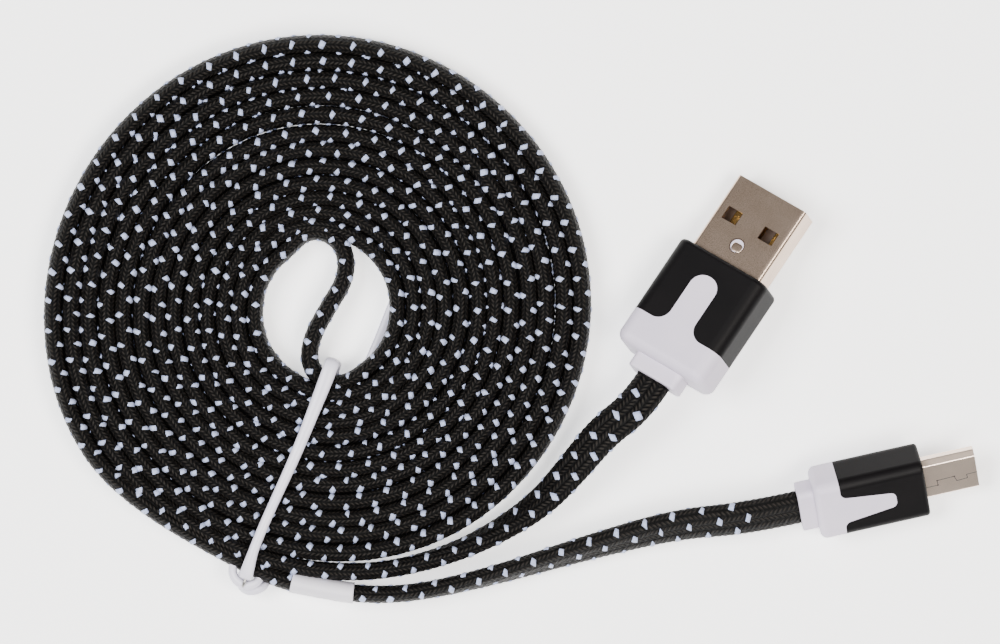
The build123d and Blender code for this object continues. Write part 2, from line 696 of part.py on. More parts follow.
with BuildPart() as twist_tie_strip:
    add(tie_strip(0).part)
    with BuildSketch(tie_plane.offset(-tie_knot_size[1] / 2)):
        with Locations((-tie_outer_reach - tie_knot_size[0] / 2 + 0.2, tie_middle[1])):
            RectangleRounded(tie_knot_size[0], tie_knot_size[2], 0.8)
    extrude(amount=tie_knot_size[1])
    add(twist_tie_wire.part, mode=Mode.SUBTRACT)
keep(twist_tie_strip, "twist_tie_strip")

# ==== the cable ============================================================================
tie_grooves = tie_strip(tie_gap)

with BuildPart() as cable_coil:
    with BuildSketch():
        with Locations(coil_outer_shift):
            Circle(coil_outer_radius)
        Circle(coil_hole_radius, mode=Mode.SUBTRACT)
    extrude(amount=cable_width)
    fillet(cable_coil.edges().filter_by(GeomType.CIRCLE), coil_edge_rounding)
    add(tie_grooves.part, mode=Mode.SUBTRACT)
keep(cable_coil, "cable_coil")


def corner_radii(points):
    """The largest arc that each corner's two runs leave room for."""
    radii = []
    for before, corner, after in zip(points, points[1:], points[2:]):
        run_in, run_out = Vector(*corner) - Vector(*before), Vector(*after) - Vector(*corner)
        turn = run_in.get_angle(run_out)
        radii.append(0.45 * min(run_in.length, run_out.length) / tan(radians(turn / 2)))
    return radii


def cable_tube(points, name):
    """The cable standing on edge along a route of straight runs and tangent arcs."""
    radii = corner_radii(points)
    with BuildPart() as tube:
        with BuildLine() as path:
            FilletPolyline(*points, radius=radii)
        start, ahead = path.line @ 0, path.line % 0
        with BuildSketch(Plane(origin=start, x_dir=(0, 0, 1), z_dir=ahead)) as section:
            RectangleRounded(cable_width, cable_thickness, cable_corner)
        sweep()
    length = sum(edge.length for edge in path.edges())
    expected = section.sketch.area * length
    print(f"{name}: length {length:.1f}, volume over section times length",
          f"{tube.part.volume / expected:.3f}, radii", [round(r, 1) for r in radii])
    return tube


def behind(lying, rear, lead):
    """Two points on a plug's axis: one behind its collar, and the collar's rear face."""
    return [tuple(lying.from_local_coords(Vector(x, 0, 0))) for x in (rear - lead, rear)]


cable_centre_bend = cable_tube(bend_route, "cable_centre_bend")
keep(cable_centre_bend, "cable_centre_bend")

cable_usb_leg = cable_tube(usb_route + behind(usb_lying, usb_collar_rear, usb_lead), "cable_usb_leg")
keep(cable_usb_leg, "cable_usb_leg")

micro_tube = cable_tube(micro_route + behind(micro_lying, micro_collar_rear, micro_lead), "cable_micro_leg")
with BuildPart() as cable_micro_leg:
    add(micro_tube.part)
    add(tie_grooves.part, mode=Mode.SUBTRACT)
keep(cable_micro_leg, "cable_micro_leg")

# ==== the marker sleeve, shrunk on to the micro-B leg where it leaves the coil ===============
sleeve_from, sleeve_to = Vector(*micro_route[2]), Vector(*micro_route[3])
sleeve_axis = (sleeve_to - sleeve_from).normalized()
sleeve_start = (sleeve_from + sleeve_to) * 0.5 - sleeve_axis * (sleeve_length / 2)
with BuildPart() as marker_sleeve:
    with BuildSketch(Plane(origin=sleeve_start, x_dir=(0, 0, 1), z_dir=sleeve_axis)):
        RectangleRounded(cable_width + 2 * sleeve_wall, cable_thickness + 2 * sleeve_wall,
                         cable_corner + sleeve_wall)
        RectangleRounded(cable_width, cable_thickness, cable_corner, mode=Mode.SUBTRACT)
    extrude(amount=sleeve_length)
keep(marker_sleeve, "marker_sleeve")

print("usb plug frame", usb_lying.origin, usb_lying.x_dir, usb_lying.z_dir)
print("micro plug frame", micro_lying.origin, micro_lying.x_dir, micro_lying.z_dir)
for latch_side, latch_name in ((1, "left"), (-1, "right")):
    pivot = Vector(micro_latch_rear, latch_side * micro_latch_spread / 2,
                   (micro_latch_low + micro_latch_top) / 2)
    print(latch_name, "latch pivot", micro_lying.from_local_coords(pivot), "axis", micro_lying.y_dir)
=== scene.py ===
import bpy
import json
import numpy as np
from math import radians, cos, sin, pi, hypot, atan2, exp
from mathutils import Vector, Matrix


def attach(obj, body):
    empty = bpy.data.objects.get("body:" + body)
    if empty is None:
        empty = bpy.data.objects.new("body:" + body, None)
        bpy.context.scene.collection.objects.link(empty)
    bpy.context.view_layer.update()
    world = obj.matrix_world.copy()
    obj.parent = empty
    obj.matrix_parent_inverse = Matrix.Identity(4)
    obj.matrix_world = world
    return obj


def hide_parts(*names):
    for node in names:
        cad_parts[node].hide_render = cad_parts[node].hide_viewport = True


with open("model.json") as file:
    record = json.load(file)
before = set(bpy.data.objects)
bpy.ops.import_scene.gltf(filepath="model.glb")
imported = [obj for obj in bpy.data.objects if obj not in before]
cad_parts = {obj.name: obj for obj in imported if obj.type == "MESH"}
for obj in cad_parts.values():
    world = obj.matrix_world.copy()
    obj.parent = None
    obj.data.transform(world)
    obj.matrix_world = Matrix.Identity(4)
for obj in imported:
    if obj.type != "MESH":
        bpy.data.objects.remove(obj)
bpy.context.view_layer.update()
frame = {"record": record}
# lengths are written in millimetres, and MM turns them to metres
MM = 0.001
ROOT = "cable_assembly"


# ---- camera: straight above, long lens ------------------------------------------------------
VIEW_CENTRE = (24.86, -1.71)
VIEW_WIDTH = 142.9
CAMERA_HEIGHT = 1500.0
SHARP_LEVEL = 4.0       # height above the floor at which the view is VIEW_WIDTH wide
SENSOR = 36.0
lens_camera = bpy.data.cameras.new("camera")
lens_camera.sensor_width = SENSOR
lens_camera.lens = SENSOR * (CAMERA_HEIGHT - SHARP_LEVEL) / VIEW_WIDTH
lens_camera.clip_end = 20.0
camera = bpy.data.objects.new("camera", lens_camera)
camera.location = (VIEW_CENTRE[0] * MM, VIEW_CENTRE[1] * MM, CAMERA_HEIGHT * MM)
bpy.context.collection.objects.link(camera)
bpy.context.scene.camera = camera


# ---- small helpers --------------------------------------------------------------------------
def colour(hex_text):
    """A hex sRGB colour as linear values."""
    parts = [int(hex_text[i:i + 2], 16) / 255 for i in (1, 3, 5)]
    return (*[c / 12.92 if c <= 0.04045 else ((c + 0.055) / 1.055) ** 2.4 for c in parts], 1.0)


def new_material(name):
    """A material with an empty node tree."""
    material = bpy.data.materials.new(name)
    material.use_nodes = True
    material.node_tree.nodes.clear()
    return material


def add(material, kind, inputs, out=0, stops=(), **settings):
    """Adds a node and gives back one output.

    A socket in inputs is linked and anything else is set; stops are a ramp's places and colours.
    """
    node = material.node_tree.nodes.new("ShaderNode" + kind)
    for key, value in settings.items():
        setattr(node, key, value)
    for key, value in inputs.items():
        if isinstance(value, bpy.types.NodeSocket):
            material.node_tree.links.new(value, node.inputs[key])
        else:
            node.inputs[key].default_value = value
    if stops:
        elements = node.color_ramp.elements
        while len(elements) < len(stops):
            elements.new(0.5)
        for element, (place, tint) in zip(elements, stops):
            element.position = place
            element.color = colour(tint)
    return node.outputs[out]


def close_material(material, **inputs):
    """Gives the material its principled shader with these inputs, and links it to the output."""
    shader = add(material, "BsdfPrincipled", {k.replace("_", " "): v for k, v in inputs.items()})
    surface = material.node_tree.nodes.new("ShaderNodeOutputMaterial").inputs[0]
    material.node_tree.links.new(shader, surface)
    return material


def per_mm(cell):
    """The scale of a noise whose cells are this many millimetres across."""
    return 1 / (cell * MM)


def plastic(name, base, dark, rough, grain_mm, grain_depth_mm, gloss=0.5):
    """Moulded plastic: fine spark-eroded grain breaks up the gloss, and the tone drifts a little."""
    m = new_material(name)
    drift_mm, rough_swing = 5.556, 0.18
    place = add(m, "TexCoord", {}, "Object")
    grain = add(m, "TexNoise", {"Vector": place, "Scale": per_mm(grain_mm), "Detail": 3.0, "Roughness": 0.6})
    drift = add(m, "TexNoise", {"Vector": place, "Scale": per_mm(drift_mm), "Detail": 2.0, "Roughness": 0.5})
    tint = add(m, "ValToRGB", {0: drift}, stops=((0.3, base), (0.75, dark)))
    swing = add(m, "Math", {0: grain, 1: rough_swing}, operation="MULTIPLY")
    roughness = add(m, "Math", {0: swing, 1: rough - rough_swing / 2}, operation="ADD")
    bump = add(m, "Bump", {"Height": grain, "Distance": grain_depth_mm * MM, "Strength": 0.9})
    return close_material(m, Base_Color=tint, Roughness=roughness, Specular_IOR_Level=gloss, Normal=bump)


def metal(name, base, dark, rough):
    """Plated or drawn metal: a fine matt grain softens its reflections, and the tone drifts slowly."""
    m = new_material(name)
    grain_mm, grain_depth_mm, drift_mm, rough_swing = 0.05, 0.004, 3.846, 0.16
    place = add(m, "TexCoord", {}, "Object")
    grain = add(m, "TexNoise", {"Vector": place, "Scale": per_mm(grain_mm), "Detail": 3.0, "Roughness": 0.7})
    drift = add(m, "TexNoise", {"Vector": place, "Scale": per_mm(drift_mm), "Detail": 3.0, "Roughness": 0.5})
    tint = add(m, "ValToRGB", {0: drift}, stops=((0.35, base), (0.7, dark)))
    swing = add(m, "Math", {0: grain, 1: rough_swing}, operation="MULTIPLY")
    roughness = add(m, "Math", {0: swing, 1: rough - rough_swing / 2}, operation="ADD")
    bump = add(m, "Bump", {"Height": grain, "Distance": grain_depth_mm * MM, "Strength": 0.5})
    return close_material(m, Base_Color=tint, Metallic=1.0, Roughness=roughness, Normal=bump)


# ---- the cord's line ------------------------------------------------------------------------
CABLE_W, CABLE_T = 5.6, 2.22
REST_Z = 3.06           # height of a standing strand's middle

# the line's control points: each leg from the coil outwards, the bend from one arm to the other
usb_leg = [(3.2, -37.6, REST_Z), (10.4, -36.95, REST_Z), (18.4, -34.7, 2.9), (25.0, -31.5, 3.3),
           (31.0, -27.4, 4.6), (35.6, -22.2, 6.4), (39.6, -17.3, 8.4)]
micro_leg = [(-8.4, -38.2, REST_Z), (-2.0, -39.5, REST_Z), (5.0, -40.75, REST_Z),
             (13.0, -40.5, REST_Z), (24.0, -38.0, 2.9), (37.5, -33.9, 3.3), (50.0, -30.6, 4.4)]
centre_bend = [(3.2, -10.2), (1.0, -10.6), (-1.0, -9.75), (-2.3, -7.9), (-2.4, -5.6), (-1.8, -3.6),
               (-0.9, -1.7), (0.8, 1.2), (2.3, 3.6), (2.95, 6.0), (2.6, 8.6), (1.2, 10.4),
               (-0.95, 11.25), (-3.2, 10.95)]


def plug_frame(origin, heading, nose_down, roll):
    """A plug's own frame as it lies: +X out of the plug, +Y left, +Z out of its top face."""
    h, p, f = radians(heading), radians(nose_down), radians(roll)
    ahead, right, up = Vector((cos(h), sin(h), 0)), Vector((sin(h), -cos(h), 0)), Vector((0, 0, 1))
    x = ahead * cos(p) - up * sin(p)
    above = ahead * sin(p) + up * cos(p)
    z = above * cos(f) - right * sin(f)
    y = z.cross(x)
    return Matrix(((x.x, y.x, z.x, origin[0]), (x.y, y.y, z.y, origin[1]),
                   (x.z, y.z, z.z, origin[2]), (0, 0, 0, 1)))


mounts = {m["name"]: m for m in frame["record"]["mounts"]}


def from_mount(name, reach, heading, nose_down, roll):
    """A plug's frame with its origin the reach of the shell behind the mount at the shell's tip."""
    tip = Vector(mounts[name]["pos_m"]) * 1000
    axis = Vector(mounts[name]["axis"])
    return plug_frame(tip - axis * reach, heading, nose_down, roll)


usb = from_mount("usb_a_plug", 12.1, 56.0, 8.0, 24.0)
micro = from_mount("micro_b_plug", 7.7, 12.6, 1.7, -38.0)
# where the cord enters each plug's rear, and the next control point straight behind it
USB_REAR, MICRO_REAR = -19.6, -18.3
USB_STRAIGHT, MICRO_STRAIGHT = 4.6, 7.5
usb_exit = usb @ Vector((USB_REAR, 0, 0))
usb_behind = usb @ Vector((USB_REAR - USB_STRAIGHT, 0, 0))
micro_exit = micro @ Vector((MICRO_REAR, 0, 0))
micro_behind = micro @ Vector((MICRO_REAR - MICRO_STRAIGHT, 0, 0))

# the double spiral: its radius at the hole, how far it grows in a turn, and how that grows outwards
STEPS = 18              # control points a turn
SHRINK = 1 - 0.25 * (1 - cos(2 * pi / STEPS))   # how far inside its control points the line runs
HOLE_RADIUS, PITCH, PITCH_GROWTH = 10.15, 4.50, 0.052
# the tie pulls the turns in round this angle, the outer ones most, and lifts the strands over its run
TIE_ANGLE, TIE_SPREAD, TIE_PULL = 247.0, 58, 0.036
TIE_KNOT, TIE_LIFT, TIE_LIFT_REACH = (-11.4, -38.3), 0.7, 9.0
# where the inner turns make room for the other arm: turn, how far out
MAKE_ROOM = ((0.31, 0.9), (0.81, 0.5), (1.31, 0.25))
ROOM_WIDTH = 0.09
# turns that stand off their neighbours: from which turn, middle angle, half the arc, how far
LOOSE_ARCS = ((3.6, 100, 60, 0.35), (4.7, 10, 45, 0.15), (5.2, 205, 30, 0.12), (2.2, 150, 50, -0.1))
LOOSENS_IN = 0.3        # the share of a turn over which they come loose
WAVE, WAVE_RATE = 0.10, 2.3     # slight rise and fall of the strands from turn to turn


def hump(distance, reach):
    """1 in the middle, falling smoothly to 0 at the reach."""
    return cos(pi / 2 * min(1, abs(distance) / reach)) ** 2


def between(angle, other):
    """The difference of two angles, from -180 to 180."""
    return (angle - other + 180) % 360 - 180


def coil_radius(u, angle):
    """Radius of a strand after u turns: a steady spiral, pulled in where the tie holds it."""
    r = HOLE_RADIUS + PITCH * max(u, 0) + PITCH_GROWTH * u * u
    r += sum(out * exp(-((u - at) / ROOM_WIDTH) ** 2) for at, out in MAKE_ROOM)
    r -= TIE_PULL * u * u * hump(between(angle, TIE_ANGLE), TIE_SPREAD)
    for start, middle, half_arc, out in LOOSE_ARCS:
        if u > start:
            r += out * hump(between(angle, middle), half_arc) * min(1, (u - start) / LOOSENS_IN)
    return r


def coil(offset_angle, first, last):
    """Control points of one arm from u=first to u=last, one each 360/STEPS degrees."""
    found = []
    for i in range(int(round((last - first) * STEPS)) + 1):
        u = first + i / STEPS
        a = offset_angle + 360 * u
        r = coil_radius(u, a % 360) / SHRINK
        x, y = r * cos(radians(a)), r * sin(radians(a))
        found.append((x, y, REST_Z + WAVE * sin(WAVE_RATE * u + offset_angle) + tie_rise(x, y)))
    return found


def near_line(x, y, a, b):
    """How far a point is from the straight run between a and b, seen from above."""
    dx, dy = b[0] - a[0], b[1] - a[1]
    t = max(0, min(1, ((x - a[0]) * dx + (y - a[1]) * dy) / (dx * dx + dy * dy)))
    return hypot(x - a[0] - t * dx, y - a[1] - t * dy)


def tie_rise(x, y):
    """How far the strands ride up over the tie's two runs beneath them."""
    d = min(near_line(x, y, TIE_KNOT, (1.0, -7.6)), near_line(x, y, TIE_KNOT, (10.0, 4.0)))
    return TIE_LIFT * hump(d, TIE_LIFT_REACH)


FIRST_TURN = -0.22 + 1 / STEPS
USB_ARM_END, MICRO_ARM_END = 5.70, 6.10
route = [tuple(usb_exit), tuple(usb_behind)] + usb_leg[::-1] + coil(0, FIRST_TURN, USB_ARM_END)[::-1]
route += [(x, y, REST_Z) for x, y in centre_bend]
route += coil(180, FIRST_TURN, MICRO_ARM_END) + micro_leg + [tuple(micro_behind), tuple(micro_exit)]


def smooth_line(points, resolution=8):
    """The points that a quadratic NURBS with these control points passes through."""
    data = bpy.data.curves.new("route", "CURVE")
    data.dimensions = "3D"
    spline = data.splines.new("NURBS")
    spline.points.add(len(points) - 1)
    for p, c in zip(spline.points, points):
        p.co = (*[v * MM for v in c], 1)
    spline.order_u = 3
    spline.use_endpoint_u = True
    spline.resolution_u = resolution
    carrier = bpy.data.objects.new("route", data)
    bpy.context.collection.objects.link(carrier)
    mesh = bpy.data.meshes.new_from_object(carrier)
    found = np.array([v.co[:] for v in mesh.vertices]) / MM
    bpy.data.objects.remove(carrier)
    bpy.data.meshes.remove(mesh)
    bpy.data.curves.remove(data)
    return found


def along(points):
    """The distance along the line at each of its points."""
    steps = np.linalg.norm(np.diff(points, axis=0), axis=1)
    return np.concatenate([[0], np.cumsum(steps)])


line = smooth_line(route)
line_s = along(line)
total = float(line_s[-1])
middle_s = float(line_s[np.argmin(np.hypot(line[:, 0], line[:, 1]))])

# even samples of the line, and the section's wide and thin directions at each
RING = 0.475
rings = int(round(total / RING)) + 1
s_ring = np.linspace(0, total, rings)


def columns_at(at, places, values):
    """Rows of values, each given at a place, read off at other places."""
    return np.stack([np.interp(at, places, column) for column in values.T], axis=1)


centre = columns_at(s_ring, line_s, line)
# a light smoothing takes the facets out of the direction
tangent = np.gradient(centre, axis=0)
for _ in range(3):
    tangent[1:-1] = (tangent[:-2] + 2 * tangent[1:-1] + tangent[2:]) / 4
tangent /= np.linalg.norm(tangent, axis=1)[:, None]


def ease(x):
    """From 0 to 1 with no corner at either end."""
    x = np.clip(x, 0, 1)
    return x * x * (3 - 2 * x)


def unit(a):
    """Rows of vectors, each made one long."""
    return a / np.linalg.norm(a, axis=1)[:, None]


wide_usb = np.array((usb.to_3x3() @ Vector((0, -1, 0)))[:])
wide_micro = np.array((micro.to_3x3() @ Vector((0, 1, 0)))[:])
# the cord lies flat on each plug's rear and has turned on edge this far from it
USB_TWIST, MICRO_TWIST = (3.0, 52.0), (4.0, 62.0)
ROCK, ROCK_LENGTH = radians(3.0), 37.0      # the strands rock a little to and fro in the coil
# how far from each plug that starts, and over what length it grows
USB_ROCK, MICRO_ROCK, ROCK_GROWS = 60, 70, 30


def roll_angle(end_wide, end_tangent):
    """Angle of the wide direction from upright, about the line."""
    upright = np.array((0, 0, 1.0)) - end_tangent * end_tangent[2]
    upright /= np.linalg.norm(upright)
    side = np.cross(end_tangent, upright)
    return atan2(float(end_wide @ side), float(end_wide @ upright))


to_end = total - s_ring
turn = roll_angle(wide_usb, tangent[0]) * (1 - ease((s_ring - USB_TWIST[0]) / (USB_TWIST[1] - USB_TWIST[0])))
turn += (roll_angle(wide_micro, tangent[-1])
         * (1 - ease((to_end - MICRO_TWIST[0]) / (MICRO_TWIST[1] - MICRO_TWIST[0]))))
turn += (ROCK * np.sin(s_ring / ROCK_LENGTH) * ease((s_ring - USB_ROCK) / ROCK_GROWS)
         * ease((to_end - MICRO_ROCK) / ROCK_GROWS))
upright = unit(np.array((0, 0, 1.0)) - tangent * tangent[:, 2:3])
side = np.cross(tangent, upright)
wide = upright * np.cos(turn)[:, None] + side * np.sin(turn)[:, None]
thin = np.cross(wide, tangent)
# squeezed between its neighbours in the coil, tightest in the inner turns, plumper where it runs free
INNER_THICK, THICKER_A_TURN, FREE_THICK = 2.30, 0.06, 2.53
# the free lengths at each plug and each way from the bend's middle, and over what length they end
USB_FREE, MICRO_FREE, BEND_FREE, LEG_JOINS, BEND_JOINS = 58, 84, 9, 16, 7
from_bend = np.abs(s_ring - middle_s)
free = 1 - (ease((s_ring - USB_FREE) / LEG_JOINS) * ease((to_end - MICRO_FREE) / LEG_JOINS)
            * ease((from_bend - BEND_FREE) / BEND_JOINS))
turns_out = np.clip((np.hypot(centre[:, 0], centre[:, 1]) - 10.0) / 4.7, 0, 6)
strand_thick = (1 - free) * (INNER_THICK + THICKER_A_TURN * turns_out) + free * FREE_THICK
thin *= (strand_thick / CABLE_T)[:, None]


# ---- the section: edges drawn in to a blunt ridge, broad faces a little hollow ------------------
HALF_T, EDGE_REACH = CABLE_T / 2, 1.95
FLAT = CABLE_W - 2 * EDGE_REACH
# each edge is half an ellipse; this is nearly the length of a quarter of one
QUARTER = pi / 2 * hypot(EDGE_REACH, HALF_T) / 2 ** 0.5
PERIMETER = 2 * FLAT + 4 * QUARTER
HOLLOW = 0.08


def section(p):
    """Point and outward direction at a distance p round the section, from the middle of one edge."""
    p = np.mod(p, PERIMETER)
    w, t = np.zeros_like(p), np.zeros_like(p)
    ow, ot = np.zeros_like(p), np.zeros_like(p)
    for k, sign in enumerate((1, -1)):
        q = p - k * (FLAT + 2 * QUARTER)
        # from the edge's middle on to the broad face
        m, a = (q >= 0) & (q < QUARTER), q / QUARTER * pi / 2
        w[m], t[m] = (sign * (FLAT / 2 + EDGE_REACH * np.cos(a)))[m], (sign * HALF_T * np.sin(a))[m]
        ow[m], ot[m] = (sign * np.cos(a) / EDGE_REACH)[m], (sign * np.sin(a) / HALF_T)[m]
        # across the broad face
        m, a = (q >= QUARTER) & (q < QUARTER + FLAT), (q - QUARTER) / FLAT
        w[m] = (sign * FLAT * (0.5 - a))[m]
        t[m] = (sign * (HALF_T - HOLLOW * np.sin(pi * a) ** 2))[m]
        ow[m], ot[m] = 0, sign / HALF_T
        # and round to the other edge's middle
        m, a = (q >= QUARTER + FLAT) & (q < 2 * QUARTER + FLAT), (q - QUARTER - FLAT) / QUARTER * pi / 2
        w[m], t[m] = (-sign * (FLAT / 2 + EDGE_REACH * np.sin(a)))[m], (sign * HALF_T * np.cos(a))[m]
        ow[m], ot[m] = (-sign * np.sin(a) / EDGE_REACH)[m], (sign * np.cos(a) / HALF_T)[m]
    size = np.hypot(ow, ot)
    return w, t, ow / size, ot / size


def on_cable(s, p, height):
    """Points on the cable at s along it and p round it, raised by height."""
    w, t, ow, ot = section(p)
    index = np.clip(s / total * (rings - 1), 0, rings - 1.001)
    low = index.astype(int)
    f = (index - low)[..., None]
    middle, wide_way, thin_way = (a[low] * (1 - f) + a[low + 1] * f for a in (centre, wide, thin))
    return middle + wide_way * (w + ow * height)[..., None] + thin_way * (t + ot * height)[..., None]


def new_piece(name, points, faces, material, uv=None, smooth=True):
    """A mesh object at the origin; points in millimetres."""
    mesh = bpy.data.meshes.new(name)
    mesh.from_pydata((np.asarray(points, dtype=np.float64) * MM).tolist(), [], faces)
    if uv is not None:
        layer = mesh.uv_layers.new(name="along")
        loops = np.zeros(len(mesh.loops), dtype=np.int32)
        mesh.loops.foreach_get("vertex_index", loops)
        layer.data.foreach_set("uv", np.asarray(uv)[loops].astype(np.float32).ravel())
    mesh.polygons.foreach_set("use_smooth", [smooth] * len(mesh.polygons))
    mesh.materials.append(material)
    mesh.update()
    piece = bpy.data.objects.new(name, mesh)
    bpy.context.collection.objects.link(piece)
    return piece


def grid_faces(rows, columns, closed):
    """Quads of a grid of points, row by row; closed joins the last column to the first."""
    r, c = np.meshgrid(np.arange(rows - 1), np.arange(columns if closed else columns - 1), indexing="ij")
    n = (c + 1) % columns
    return np.stack([r * columns + c, (r + 1) * columns + c, (r + 1) * columns + n, r * columns + n],
                    axis=-1).reshape(-1, 4)


# ---- the braided cord -----------------------------------------------------------------------------
def braid_material():
    """Black nylon yarn plaited over a flat bundle: matt chevrons, with painted highlight on the yarn crowns
    and painted shade in the gaps between the yarns.

    A real yarn is finer. Its pitch here is as fine as shows clearly.
    """
    m = new_material("black_nylon_plaited")
    yarn_pitch, chevron_slope, chevrons_round, filaments = 0.66, 0.8, 14, 4
    fuzz_mm, relief_mm = 0.1111, 0.16
    where = add(m, "SeparateXYZ", {0: add(m, "UVMap", {}, uv_map="along")})
    s, p = where, where.node.outputs[1]
    zigzag = add(m, "Math", {0: p, 1: PERIMETER / chevrons_round}, operation="PINGPONG")
    lean = add(m, "Math", {0: zigzag, 1: chevron_slope}, operation="MULTIPLY")
    shifted = add(m, "Math", {0: s, 1: lean}, operation="ADD")
    yarns = add(m, "Math", {0: shifted, 1: yarn_pitch}, operation="DIVIDE")

    def wave(value, rate, power=None):
        """The size of a sine wave of the value, rounded by the power."""
        angle = add(m, "Math", {0: value, 1: rate}, operation="MULTIPLY")
        size = add(m, "Math", {0: add(m, "Math", {0: angle}, operation="SINE")}, operation="ABSOLUTE")
        return size if power is None else add(m, "Math", {0: size, 1: power}, operation="POWER")

    yarn = wave(yarns, pi, 0.6)
    fine = wave(yarns, filaments * pi)
    gap = wave(p, chevrons_round * pi / PERIMETER, 0.5)
    fuzz = add(m, "TexNoise", {"Vector": add(m, "TexCoord", {}, "Object"), "Scale": per_mm(fuzz_mm),
                               "Detail": 3.0, "Roughness": 0.6})
    height = add(m, "Math", {0: yarn, 1: gap}, operation="MULTIPLY")
    for part, share in ((fine, 0.22), (fuzz, 0.25)):
        part = add(m, "Math", {0: part, 1: share}, operation="MULTIPLY")
        height = add(m, "Math", {0: height, 1: part}, operation="ADD")
    # the colour follows the relief: painted highlight on the crowns, painted shade in the gaps, with random
    # fuzz in the tone
    shade = add(m, "Math", {0: height, 1: 0.72}, operation="MULTIPLY")
    tint = add(m, "ValToRGB", {0: shade}, stops=((0.3, "#000000"), (0.7, "#070606"), (1.0, "#2e2a26")))
    bump = add(m, "Bump", {"Height": height, "Distance": relief_mm * MM, "Strength": 1.0})
    return close_material(m, Base_Color=tint, Roughness=0.5, Specular_IOR_Level=0.12, Normal=bump)


AROUND = 20             # points round the section
RELIEF, SUNK = 0.045, 0.03      # the plait's own unevenness, and how far its valleys sink
ring_number, place_round = np.repeat(np.arange(rings), AROUND), np.tile(np.arange(AROUND), rings)
s_grid = np.repeat(s_ring, AROUND)
p_grid = np.tile(np.arange(AROUND) * PERIMETER / AROUND, rings)
checker = ((ring_number + place_round) % 2) * 2 - 1
tube_points = on_cable(s_grid, p_grid, RELIEF * checker - SUNK)
uv = np.stack([s_grid, np.minimum(p_grid, PERIMETER - p_grid)], axis=1)
faces = grid_faces(rings, AROUND, True).tolist()
faces += [list(range(AROUND)), list(range((rings - 1) * AROUND, rings * AROUND))[::-1]]
cord = new_piece("braided_cord", tube_points, faces, braid_material(), uv)
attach(cord, ROOT)
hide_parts("cable_coil", "cable_centre_bend", "cable_usb_leg", "cable_micro_leg")


# ---- white tracer picks in the plait --------------------------------------------------------------
def tracer_material():
    """Glossy white nylon filaments laid side by side: painted highlight on the ridges, with painted bluish
    shade between them.
    """
    m = new_material("white_nylon_tracer")
    filaments, fuzz_mm, relief_mm = 6, 0.14286, 0.03
    where = add(m, "SeparateXYZ", {0: add(m, "UVMap", {}, uv_map="along")})
    angle = add(m, "Math", {0: where.node.outputs[1], 1: filaments * pi}, operation="MULTIPLY")
    thread = add(m, "Math", {0: add(m, "Math", {0: angle}, operation="SINE")}, operation="ABSOLUTE")
    fuzz = add(m, "TexNoise", {"Vector": add(m, "TexCoord", {}, "Object"), "Scale": per_mm(fuzz_mm),
                               "Detail": 2.0, "Roughness": 0.5})
    halves = [add(m, "Math", {0: part, 1: 0.5}, operation="MULTIPLY") for part in (thread, fuzz)]
    # the tint follows the filament ridges: painted highlight on them, painted bluish shade between them,
    # with random fuzz
    shade = add(m, "Math", {0: halves[0], 1: halves[1]}, operation="ADD")
    tint = add(m, "ValToRGB", {0: shade}, stops=((0.2, "#6474ab"), (0.55, "#9fadd8"), (0.9, "#e0e6f8")))
    bump = add(m, "Bump", {"Height": thread, "Distance": relief_mm * MM, "Strength": 0.8})
    return close_material(m, Base_Color=tint, Roughness=0.38, Sheen_Weight=0.2, Normal=bump)


# picks along a column, columns round the section, and the angle of a pick's length to the cord
SPACING, COLUMNS, SLANT = 4.2, 6, radians(70)
SIZES = (0.85, 1.15)    # a pick's size, as a share of the usual
BARE_END = 3.0          # no pick starts nearer a plug than this
LONG, WIDE, LEAN = 0.66, 0.44, 0.22     # half a pick's length and width, and how far its ends lean
DRIFT, DRIFT_LENGTH = 1.1, 66.0         # the columns wander round the section along the cord
# how high a pick stands on the cord: away from its crown, at its crown more, and at its sunk rim
PICK_BASE, PICK_CROWN, PICK_RIM = 0.06, 0.13, -0.09
rng = np.random.default_rng(7)
# one pick: a closed pillow of 5 by 5 points, with its rim sunk in the braid
STATIONS = (-1, -0.82, 0, 0.82, 1)
points_wide = len(STATIONS)
ga, gb = np.meshgrid(STATIONS, STATIONS, indexing="ij")
rim = np.maximum(np.abs(ga), np.abs(gb)) > 0.99
corner = np.where((np.abs(ga) > 0.99) & (np.abs(gb) > 0.99), 0.84, 1.0)
ga, gb = ga * corner, gb * corner
crown = (1 - np.abs(gb)) * (1 - 0.6 * np.abs(ga))
pick_rise = np.where(rim, PICK_RIM, PICK_BASE + PICK_CROWN * crown)
last_row = (points_wide - 1) * points_wide
border = ([r * points_wide for r in range(points_wide)] + [last_row + c for c in range(1, points_wide)]
          + [r * points_wide + points_wide - 1 for r in range(points_wide - 2, -1, -1)]
          + list(range(points_wide - 2, 0, -1)))
pick_faces = grid_faces(points_wide, points_wide, False).tolist() + [border[::-1]]
pick_points, pick_uv, all_pick_faces = [], [], []
